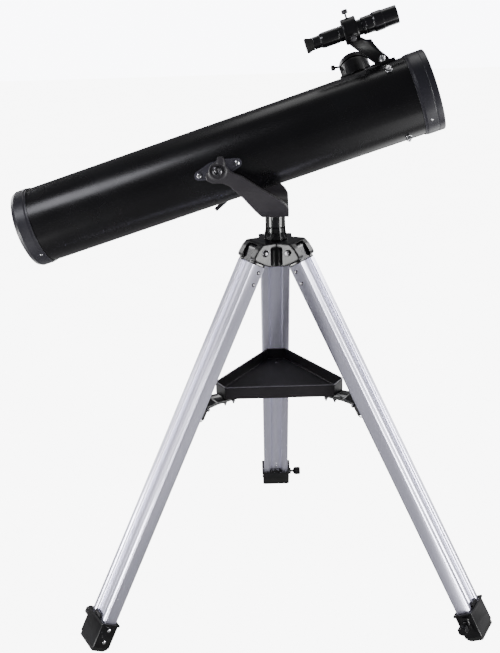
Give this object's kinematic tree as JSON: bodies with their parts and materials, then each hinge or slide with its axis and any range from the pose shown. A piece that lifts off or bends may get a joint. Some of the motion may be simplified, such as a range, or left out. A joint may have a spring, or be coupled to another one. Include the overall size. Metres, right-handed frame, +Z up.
{
  "type": "newtonian reflector telescope",
  "caption": "Black reflecting telescope tube on an alt-azimuth fork, with finder scope, focuser and an aluminium tripod with a triangular accessory tray.",
  "frame": {"origin": "middle of the footprint box, at ground level", "axes": "+Z up; the tube's front end points to +X; the back leg points to +Y"},
  "size_m": [0.7814, 0.6208, 1.0101],
  "materials": {
    "tube_paint": "satin black",
    "fork_coat": "satin charcoal",
    "tray_coat": "fine textured black",
    "leg_aluminium": "satin anodised",
    "mirror_coat": "polished",
    "lens_glass": "coated",
    "rubber": "matte",
    "bright_steel": "bright",
    "black_plastic": "semi-gloss"
  },
  "bodies": {
    "stand": {"hub": "black_plastic", "azimuth_post": "black_plastic", "accessory_tray": "tray_coat", "leg_a_top_block": "black_plastic", "leg_a_outer": "leg_aluminium", "leg_a_shoe": "black_plastic", "leg_a_pivot_bolt": "bright_steel", "leg_b_top_block": "black_plastic", "leg_b_outer": "leg_aluminium", "leg_b_shoe": "black_plastic", "leg_b_pivot_bolt": "bright_steel", "leg_c_top_block": "black_plastic", "leg_c_outer": "leg_aluminium", "leg_c_shoe": "black_plastic", "leg_c_pivot_bolt": "bright_steel", "tray_bracket_a": "black_plastic", "tray_bracket_b": "black_plastic", "tray_bracket_c": "black_plastic"},
    "fork": {"fork": "fork_coat", "azimuth_bolt": "bright_steel"},
    "tube": {"main_tube": "tube_paint", "front_ring": "black_plastic", "rear_cap": "black_plastic", "primary_mirror": "mirror_coat", "mirror_cell": "black_plastic", "secondary_holder": "black_plastic", "secondary_mirror": "mirror_coat", "trunnion_near": "black_plastic", "trunnion_far": "black_plastic", "altitude_pivot_bolt": "black_plastic", "rod_stud": "bright_steel", "focuser_base": "black_plastic", "finder_bracket": "black_plastic", "finder_barrel": "black_plastic", "finder_hood": "black_plastic", "finder_lens": "lens_glass", "finder_eyecup": "rubber"},
    "altitude_knob": {"altitude_clamp_knob": "black_plastic"},
    "rod": {"altitude_rod": "bright_steel"},
    "swivel": {"rod_swivel": "black_plastic"},
    "rod_knob": {"rod_clamp_knob": "black_plastic"},
    "draw_tube": {"draw_tube": "black_plastic", "eyepiece": "rubber"},
    "focus_shaft": {"focus_shaft": "bright_steel", "focus_knob_front": "black_plastic", "focus_knob_rear": "black_plastic"},
    "eyepiece_screw": {"eyepiece_thumbscrew": "bright_steel"},
    "finder_screw_1": {"finder_screw_1": "bright_steel"},
    "finder_screw_2": {"finder_screw_2": "bright_steel"},
    "finder_screw_3": {"finder_screw_3": "bright_steel"},
    "leg_a_lower": {"leg_a_inner": "leg_aluminium", "leg_a_foot": "rubber"},
    "leg_a_clamp": {"leg_a_thumbscrew": "black_plastic"},
    "leg_b_lower": {"leg_b_inner": "leg_aluminium", "leg_b_foot": "rubber"},
    "leg_b_clamp": {"leg_b_thumbscrew": "black_plastic"},
    "leg_c_lower": {"leg_c_inner": "leg_aluminium", "leg_c_foot": "rubber"},
    "leg_c_clamp": {"leg_c_thumbscrew": "black_plastic"}
  },
  "joints": [
    {"name": "azimuth", "type": "hinge", "parent": "stand", "child": "fork", "pos_m": [0.04018, -0.07935, 0.7], "axis": [0, 0, 1], "continuous": true},
    {"name": "altitude", "type": "hinge", "parent": "fork", "child": "tube", "pos_m": [-0.04677, -0.07631, 0.775], "axis": [-0.0349, -0.9994, 0], "range_deg": [-15, 35]},
    {"name": "altitude_knob_turn", "type": "hinge", "parent": "tube", "child": "altitude_knob", "pos_m": [-0.04363, 0.01363, 0.775], "axis": [0.0349, 0.9994, 0], "continuous": true},
    {"name": "rod_pin", "type": "hinge", "parent": "tube", "child": "rod", "pos_m": [0.10509, 0.01144, 0.82217], "axis": [-0.0349, -0.9994, 0], "range_deg": [-2.2, 0.3]},
    {"name": "swivel_turn", "type": "hinge", "parent": "fork", "child": "swivel", "pos_m": [0.00335, 0.01199, 0.7345], "axis": [-0.0349, -0.9994, 0], "range_deg": [-15.5, 35.5]},
    {"name": "rod_knob_turn", "type": "hinge", "parent": "swivel", "child": "rod_knob", "pos_m": [0.00387, 0.02698, 0.7345], "axis": [0.0349, 0.9994, 0], "continuous": true},
    {"name": "focuser_slide", "type": "slide", "parent": "tube", "child": "draw_tube", "axis": [-0.189, 0.7141, 0.674], "range_m": [0, 0.028]},
    {"name": "focus_turn", "type": "hinge", "parent": "tube", "child": "focus_shaft", "pos_m": [0.18697, -0.01726, 0.88183], "axis": [-0.9526, 0.0333, -0.3024], "range_deg": [0, 268]},
    {"name": "eyepiece_screw_turn", "type": "hinge", "parent": "draw_tube", "child": "eyepiece_screw", "pos_m": [0.14589, -0.01778, 0.91537], "axis": [-0.9818, -0.1488, -0.1176], "continuous": true},
    {"name": "finder_screw_1_turn", "type": "hinge", "parent": "tube", "child": "finder_screw_1", "pos_m": [0.15616, -0.06223, 0.99709], "axis": [-0.2944, 0.1495, 0.9439], "continuous": true},
    {"name": "finder_screw_2_turn", "type": "hinge", "parent": "tube", "child": "finder_screw_2", "pos_m": [0.16555, -0.08924, 0.96457], "axis": [0.0808, -0.9306, -0.3571], "continuous": true},
    {"name": "finder_screw_3_turn", "type": "hinge", "parent": "tube", "child": "finder_screw_3", "pos_m": [0.16886, -0.04645, 0.95882], "axis": [0.2135, 0.781, -0.5868], "continuous": true},
    {"name": "leg_a_extend", "type": "slide", "parent": "stand", "child": "leg_a_lower", "axis": [0, 0.4752, -0.8799], "range_m": [0, 0.4]},
    {"name": "leg_a_clamp_turn", "type": "hinge", "parent": "stand", "child": "leg_a_clamp", "pos_m": [0.08518, 0.28219, 0.03203], "axis": [1, 0, 0], "continuous": true},
    {"name": "leg_b_extend", "type": "slide", "parent": "stand", "child": "leg_b_lower", "axis": [-0.4115, -0.2376, -0.8799], "range_m": [0, 0.4]},
    {"name": "leg_b_clamp_turn", "type": "hinge", "parent": "stand", "child": "leg_b_clamp", "pos_m": [-0.29542, -0.22115, 0.03203], "axis": [-0.5, 0.866, 0], "continuous": true},
    {"name": "leg_c_extend", "type": "slide", "parent": "stand", "child": "leg_c_lower", "axis": [0.4115, -0.2376, -0.8799], "range_m": [0, 0.4]},
    {"name": "leg_c_clamp_turn", "type": "hinge", "parent": "stand", "child": "leg_c_clamp", "pos_m": [0.33078, -0.29909, 0.03203], "axis": [-0.5, -0.866, 0], "continuous": true}
  ],
  "couplings": [
    {"joint": "swivel_turn", "follows": "altitude", "ratio": 1},
    {"joint": "focus_turn", "follows": "focuser_slide", "rad_per_m": 166.67}
  ]
}
